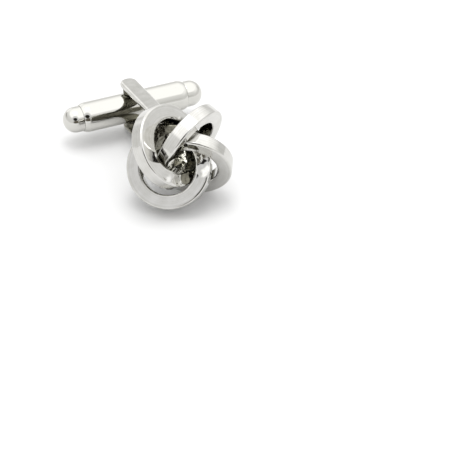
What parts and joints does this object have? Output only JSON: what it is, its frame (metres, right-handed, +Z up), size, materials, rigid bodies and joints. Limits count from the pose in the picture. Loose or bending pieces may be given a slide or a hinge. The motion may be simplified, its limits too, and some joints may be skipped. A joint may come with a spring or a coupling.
{
  "type": "cufflink",
  "caption": "Polished knot cufflink of interlocked flat rings on a round plate, with a two-armed post and a spring-held swivel bar toggle.",
  "frame": {"origin": "bottom centre of the closed cufflink's box, on the table it lies on", "axes": "+Z up; +X along the closed toggle, to the right as the knot's front is seen; -Y the way the knot's front faces, leaning up by 11.0 degrees"},
  "size_m": [0.021, 0.0262, 0.0151],
  "materials": {
    "polished_knot": "mirror-polished brass under bright silver-white plating",
    "polished_post": "polished folded strip under bright silver-white plating",
    "polished_toggle": "mirror-polished turned brass under bright silver-white plating",
    "pin_steel": "turned steel, bare",
    "plunger_brass": "turned brass, bare",
    "spring_steel": "drawn spring wire, bare"
  },
  "bodies": {
    "knot_and_post": {"knot_ring_upper_left": "polished_knot", "knot_ring_upper_right": "polished_knot", "knot_ring_lower_right": "polished_knot", "knot_ring_lower_left": "polished_knot", "base_plate": "polished_knot", "post_fork": "polished_post", "pivot_pin": "pin_steel"},
    "toggle": {"toggle_barrel": "polished_toggle", "end_cap_left": "polished_toggle", "end_cap_right": "polished_toggle", "detent_plunger_left": "plunger_brass", "detent_plunger_right": "plunger_brass", "detent_spring_left": "spring_steel", "detent_spring_right": "spring_steel"}
  },
  "joints": [
    {"name": "toggle_swivel", "type": "hinge", "parent": "knot_and_post", "child": "toggle", "pos_m": [0, 0.01047, 0.00404], "axis": [0, 0.1906, 0.9817], "continuous": true}
  ]
}
